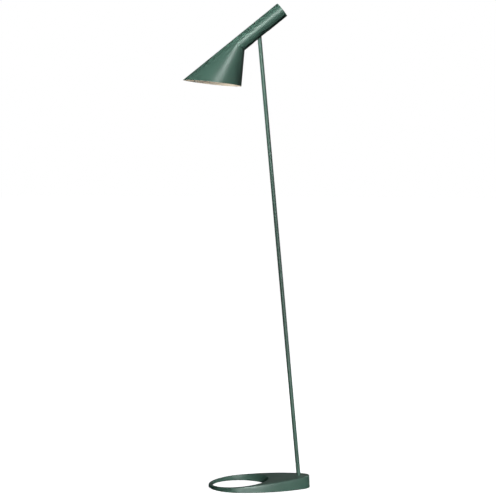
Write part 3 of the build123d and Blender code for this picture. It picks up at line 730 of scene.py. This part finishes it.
def turned(name, place, section, material):
    """Solid of revolution of a closed section of (radius, height) points about Z of place."""
    mesh = bmesh.new()
    rings = []
    for radius, height in section:
        count = 1 if radius < on_axis else sides
        rings.append([
            mesh.verts.new(place @ Vector((
                radius * cos(2 * pi * step / sides), radius * sin(2 * pi * step / sides), height)))
            for step in range(count)])
    for first, second in zip(rings, rings[1:] + rings[:1]):
        for step in range(sides):
            corners = [first[step % len(first)], first[(step + 1) % len(first)],
                       second[(step + 1) % len(second)], second[step % len(second)]]
            corners = list(dict.fromkeys(corners))
            if len(corners) > 2:
                mesh.faces.new(corners)
    bmesh.ops.recalc_face_normals(mesh, faces=mesh.faces)
    data = bpy.data.meshes.new(name)
    mesh.to_mesh(data)
    mesh.free()
    piece = bpy.data.objects.new(name, data)
    bpy.context.collection.objects.link(piece)
    data.materials.append(material)
    return shaded(piece)


print("a section has a few points, and the lathe does the rest")

# %% [markdown]
# The opal globe has no crease where it runs into its neck: hot glass flows. A cubic eases the
# radius from the cap to the ball, and both ends of it meet their neighbours' slope. The inside
# follows the outside at the thickness of the glass, so that the bulb is a real closed shell.

# %% The opal globe
cap_start, cap_end, cap_radius = measured("bulb_cap", on_cone)
neck_start, globe_end, globe_radius = measured("bulb_glass", on_cone)
glass_wall = 1.1 * mm
glass_inside_cap = 0.3 * mm
globe_middle = globe_end - globe_radius
neck_length = 14 * mm
neck_end = neck_start + neck_length
neck_rings = 12
globe_rings = 32


def glass_section(skin):
    """Half outline of the bulb, its surface pulled in by skin, from the cap to the pole."""
    ball = globe_radius - skin
    low = neck_end - globe_middle
    join_radius = sqrt(ball ** 2 - low ** 2)
    rise = -low / join_radius * (neck_end - neck_start)
    foot = cap_radius - glass_inside_cap - skin
    neck = []
    for step in range(neck_rings):
        t = step / neck_rings
        eased = (2 * t ** 3 - 3 * t ** 2 + 1) * foot + (3 * t ** 2 - 2 * t ** 3) * join_radius
        neck.append((eased + (t ** 3 - t ** 2) * rise, neck_start + t * (neck_end - neck_start)))
    first = atan2(join_radius, low)
    turns = [first * (1 - step / globe_rings) for step in range(globe_rings + 1)]
    globe = [(max(ball * sin(turn), 0), globe_middle + ball * cos(turn)) for turn in turns]
    return neck + globe[:-1] + [(0, globe_middle + ball)]


globe = turned("opal_globe", on_cone, glass_section(0) + glass_section(glass_wall)[::-1], opal)
stands_for(globe, "bulb_glass")

# %% [markdown]
# The cap of the bulb is a thin aluminium cup, rolled so that its thread fits the brass shell.
# The cup is turned, and then every point on its side is pressed in along the same spiral that
# the shell has. It could be a sleeve, but it needs the closed back that holds the glass bead.

# %% The cap of the bulb
def threaded_cup(name, place, start, end, radius, wall, shoulder, pitch, depth, material):
    """Cup open at the front, with a round thread rolled into its side."""
    rows = 64
    thread_fade = 2 * mm
    front = [start + shoulder + (end - start - shoulder) * row / rows for row in range(rows + 1)]
    round_back = [
        (radius - shoulder + shoulder * sin(turn), start + shoulder - shoulder * cos(turn))
        for turn in (0, pi / 8, pi / 4, 3 * pi / 8)]
    outside = [(0, start)] + round_back + [(radius, height) for height in front]
    inside = [(radius - wall, height) for height in front[::-1]]
    inside += [(radius - shoulder, start + wall), (0, start + wall)]
    piece = turned(name, Matrix.Identity(4), outside + inside, material)
    for vertex in piece.data.vertices:
        x, y, z = vertex.co
        around = sqrt(x * x + y * y)
        if around > radius - 1.5 * wall:
            fade = max(0, min(1, (z - start - shoulder) / thread_fade, (end - z) / thread_fade))
            wave = 0.5 - 0.5 * cos(2 * pi * (z / pitch - atan2(y, x) / (2 * pi)))
            pressed = 1 - wave * fade * depth / around
            vertex.co = (x * pressed, y * pressed, z)
    piece.data.transform(place)
    return shaded(piece)


bulb_cap = threaded_cup("rolled_bulb_cap", on_cone, cap_start, cap_end, cap_radius,
                        wall=0.4 * mm, shoulder=2 * mm, pitch=thread_pitch, depth=0.6 * mm,
                        material=aluminium)
stands_for(bulb_cap, "bulb_cap")

# %% [markdown]
# The push button is what a hand meets, so it is turned with more care than a plain disc: its
# face is dished by half a millimetre and its edge is rounded. The flange behind keeps it in the
# switch. It rides on its own body and slides two millimetres along the tube.

# %% The push button
button_start, button_end, flange_radius = measured("switch_button", facing_rear)
button_radius = 5.5 * mm
plunger_radius = 1.8 * mm
button_height = 7.0 * mm
flange_thickness = 1.5 * mm
flange_front = button_end - button_height
edge_round = 0.6 * mm
dish = 0.5 * mm
edge_steps = 6
edge_turns = [step * (pi / 2) / edge_steps for step in range(edge_steps + 1)]
section = [(0, button_start), (plunger_radius, button_start),
           (plunger_radius, flange_front - flange_thickness),
           (flange_radius, flange_front - flange_thickness),
           (flange_radius, flange_front), (button_radius, flange_front)]
section += [
    (button_radius - edge_round * (1 - cos(turn)), button_end - edge_round * (1 - sin(turn)))
    for turn in edge_turns]
section += [((button_radius - edge_round) * cos(turn), button_end - dish * sin(turn) ** 2)
            for turn in edge_turns[1:-1]]
section += [(0, button_end - dish)]
button = turned("dished_button", facing_rear, section, textured_black)
stands_for(button, "switch_button")

# %% [markdown]
# Everything else is machined, moulded or cast, and its CAD shape is already right. But a CAD
# mesh is loose triangles, with corners as sharp as a knife. So each one is copied, its triangles
# are joined, the flat faces are made whole again, and its edges are broken by a few tenths of a
# millimetre. The frame's own mesh stays as it was.

# %% CAD pieces, made whole and deburred
def made_whole(node, name, material, edge=0.0, angle=35.0):
    """Joined and smoothed copy of a CAD node, its edges broken by this many mm."""
    mesh = bmesh.new()
    mesh.from_mesh(frame["nodes"][node].data)
    bmesh.ops.remove_doubles(mesh, verts=mesh.verts, dist=0.002 * mm)
    bmesh.ops.dissolve_degenerate(mesh, edges=mesh.edges, dist=0.001 * mm)
    bmesh.ops.dissolve_limit(mesh, angle_limit=radians(0.3), verts=mesh.verts, edges=mesh.edges)
    data = bpy.data.meshes.new(name)
    mesh.to_mesh(data)
    mesh.free()
    piece = bpy.data.objects.new(name, data)
    bpy.context.collection.objects.link(piece)
    shaded(piece, angle)
    if edge:
        break_edges(piece, edge)
    return stands_for(piece, node, material)


print("CAD pieces are copied, joined and deburred")

# %% [markdown]
# The base is a die casting in one piece: an egg in plan, a wedge from the side, with a big round
# hole. Its top edge is rounded in the tool, and after blasting it gets the same powder coat as
# the shade. Under it lies a thin rubber pad, and a zinc-plated cover closes the wiring pocket.

# %% The base
made_whole("base_casting", "cast_base", coat, angle=30)
for node, name, material, edge in (
        ("base_pad", "glued_pad", rubber_sheet, 0.0),
        ("bottom_cover", "pocket_cover", zinc, 0.15),
        ("cover_screws", "countersunk_screws", zinc, 0.1),
        ("cord_inlet_bush", "inlet_bush", soft_bush, 0.4),
        ("terminal_block", "moulded_block", nylon, 0.4),
        ("terminal_screws", "clamping_screws", zinc, 0.15),
        ("stem_washer", "flat_washer", zinc, 0.2),
        ("stem_lock_nut", "lock_nut", zinc, 0.35)):
    made_whole(node, name, material, edge)

# %% [markdown]
# The pivot is a turned brass knuckle between two cheeks of bent steel strip. Fibre washers rub
# on both sides, and spring washers keep them pressed, so that the head stays where it is put.

# %% The pivot and the chassis
for node, name, material, edge in (
        ("stem_knuckle", "turned_knuckle", turned_brass, 0.3),
        ("pivot_bolts", "shoulder_bolts", zinc, 0.25),
        ("friction_washers", "fibre_washers", fibre, 0.15),
        ("spring_washers", "sprung_washers", spring_wire, 0.1),
        ("pivot_chassis", "bent_chassis", zinc, 0.2),
        ("nipple_nut", "thin_nut", zinc, 0.25)):
    made_whole(node, name, material, edge)

# %% [markdown]
# The lampholder screws together from a cap, a ceramic core and the fluted skirt. The contacts
# and the back of the bulb are inside it, where nobody looks until the bulb is changed.

# %% The lampholder and the back of the bulb
for node, name, material, edge in (
        ("lampholder_cap", "holder_cap", thermoset, 0.4),
        ("lampholder_core", "glazed_core", steatite, 0.4),
        ("centre_contact", "contact_tongue", pressed_brass, 0.1),
        ("bulb_insulator", "fused_bead", fused_glass, 0.3),
        ("bulb_contact", "solder_tip", aluminium, 0.3)):
    made_whole(node, name, material, edge)

# %% [markdown]
# A painted plate closes the rear of the tube, set back by less than half a millimetre, with the
# push switch in its middle. The return spring sits behind the button and shortens as it is
# pressed; here it gets a mesh of its own. The lead bends at the pivot as the head tilts; here it
# is taken off its body and left where it lies.

# %% The rear cap, the switch and the leads
made_whole("rear_cap", "rear_plate", coat, 0.3)
made_whole("switch_body", "switch_housing", textured_black, 0.4)
spring = made_whole("switch_spring", "return_spring", spring_wire, angle=80)
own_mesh(spring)

for node, name in (("stem_lead", "lead_in_stem"), ("switch_lead", "lead_to_switch"),
                   ("holder_lead", "lead_to_holder")):
    made_whole(node, name, sheath, angle=60)

# made_whole puts every piece on one body, and this one is taken off it again
bending = made_whole("pivot_lead", "lead_at_pivot", sheath, angle=60)
bending.parent = None
del bending["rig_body"]
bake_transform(bending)
print("pieces shown:", len(shown), "of", len(body_of))

# %% [markdown]
# The stage is a plain white floor and a white background. Only the camera sees them: if they
# threw their light back, the undersides would go pale and lose their form. The room itself is
# dark, so that the paint has something dark to mirror at its edges, as it has in a studio
# between black flags. Near the lamp the paper glows a little less, so a faint shadow shows.
# Further out it glows as white as the background, and so there is no horizon.

# %% Floor and background
def white_floor():
    """Wide white disc that takes a faint shadow near the lamp."""
    floor_radius = 40.0
    mesh = bmesh.new()
    bmesh.ops.create_circle(mesh, cap_ends=True, radius=floor_radius, segments=64)
    data = bpy.data.meshes.new("floor")
    mesh.to_mesh(data)
    mesh.free()
    floor = bpy.data.objects.new("floor", data)
    bpy.context.collection.objects.link(floor)
    paper = bpy.data.materials.new("matt_paper_white")
    paper.use_nodes = True
    tree = paper.node_tree
    tree.nodes.clear()
    place = add(tree, "ShaderNodeTexCoord")
    away = add(tree, "ShaderNodeVectorMath", {0: place.outputs["Object"]}, operation="LENGTH")
    strength = add(tree, "ShaderNodeMapRange", {
        "Value": away, "From Min": 0.3, "From Max": 0.9, "To Min": 0.93, "To Max": 1.0})
    matt = add(tree, "ShaderNodeBsdfDiffuse", {"Color": linear("f4f4f4")})
    light = add(tree, "ShaderNodeEmission", {"Color": linear("ffffff"), "Strength": strength})
    both = add(tree, "ShaderNodeAddShader", {0: matt, 1: light})
    add(tree, "ShaderNodeOutputMaterial", {"Surface": both})
    data.materials.append(paper)
    floor.visible_diffuse = False
    floor.visible_glossy = False


white_floor()
world = bpy.data.worlds.new("studio")
bpy.context.scene.world = world
world.use_nodes = True
room = world.node_tree
room.nodes.clear()
seen = add(room, "ShaderNodeBackground", {"Color": linear("ffffff"), "Strength": 1.0})
dark = add(room, "ShaderNodeBackground", {"Color": linear("dfe6e6"), "Strength": 0.012})
path = add(room, "ShaderNodeLightPath")
split = add(room, "ShaderNodeMixShader", {0: path, 1: dark, 2: seen})
add(room, "ShaderNodeOutputWorld", {"Surface": split})
bpy.context.scene.view_settings.view_transform = "Standard"
print("white for the camera, dark for the lamp")

# %% [markdown]
# Satin paint shows two things at once: its own colour, lit softly, and a blurred mirror image of
# the box that lights it. A studio sets them apart, and so does this scene. One box at the upper
# left gives the head its colour and stays out of the gloss. Three others show only in the gloss:
# one nearly in front draws the pale band along the tube, one high on the right draws the band
# down the cone, and a wide one carries both bands softly out to the sides. The stem has a box of
# its own on the right. The base has three: one for its colour, a low wide one for the gloss of
# its wall, and a very dim one behind that greys its flat top. The last two only light the back.
# Each has a grid that narrows its beam, so that none fills the shadows of another.

# %% Softboxes
def softbox(name, aim, direction, distance, size, power, beam=180, colour=True, gloss=True):
    """Area light this far from aim, turned to face it, with a beam of this many degrees."""
    light = bpy.data.lights.new(name, "AREA")
    light.shape = "RECTANGLE"
    light.size, light.size_y = size
    light.energy = power
    light.spread = radians(beam)
    box = bpy.data.objects.new(name, light)
    away = Vector(direction).normalized()
    box.location = Vector(aim) + away * distance
    box.rotation_mode = "QUATERNION"
    box.rotation_quaternion = away.to_track_quat("Z", "Y")
    box.visible_diffuse = colour
    box.visible_glossy = gloss
    box.visible_camera = False
    bpy.context.collection.objects.link(box)


shade_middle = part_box("shade")[0].lerp(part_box("shade")[1], 0.5)
stem_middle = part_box("stem")[0].lerp(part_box("stem")[1], 0.4)
base_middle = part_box("base_casting")[0].lerp(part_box("base_casting")[1], 0.5)
lamp_middle = shade_middle.lerp(base_middle, 0.5)
above_shade = shade_middle + Vector((0, 0, 0.12))
softbox("head colour", above_shade, (-0.36, -0.88, 0.29), 2.6, (0.5, 0.5), 3.0,
        beam=36, gloss=False)
softbox("tube gloss", shade_middle, (-0.11, -0.985, 0.135), 2.6, (0.9, 0.9), 1.8,
        beam=40, colour=False)
softbox("cone gloss", shade_middle, (0.34, -0.55, 0.76), 2.6, (0.9, 0.9), 2.3,
        beam=40, colour=False)
softbox("wide gloss", shade_middle, (-0.02, -0.99, 0.14), 2.6, (1.9, 1.9), 5.0,
        beam=60, colour=False)
softbox("stem", stem_middle, (0.80, -0.60, 0.10), 2.6, (0.5, 0.9), 0.65, beam=40)
softbox("base", base_middle, (0.22, -0.93, 0.30), 2.4, (1.0, 0.4), 1.5, beam=30)
softbox("base gloss", base_middle, (0.10, -0.99, 0.10), 2.4, (1.3, 0.45), 1.2,
        beam=40, colour=False)
softbox("base sheen", base_middle, (0.0, 0.96, 0.28), 3.0, (2.4, 0.7), 0.03,
        beam=25, colour=False)
softbox("behind", lamp_middle, (0.30, 0.94, 0.16), 3.0, (1.5, 1.5), 9, beam=100, gloss=False)
softbox("behind gloss", lamp_middle, (0.58, 0.58, 0.57), 3.0, (1.2, 1.2), 4.5,
        beam=80, colour=False)
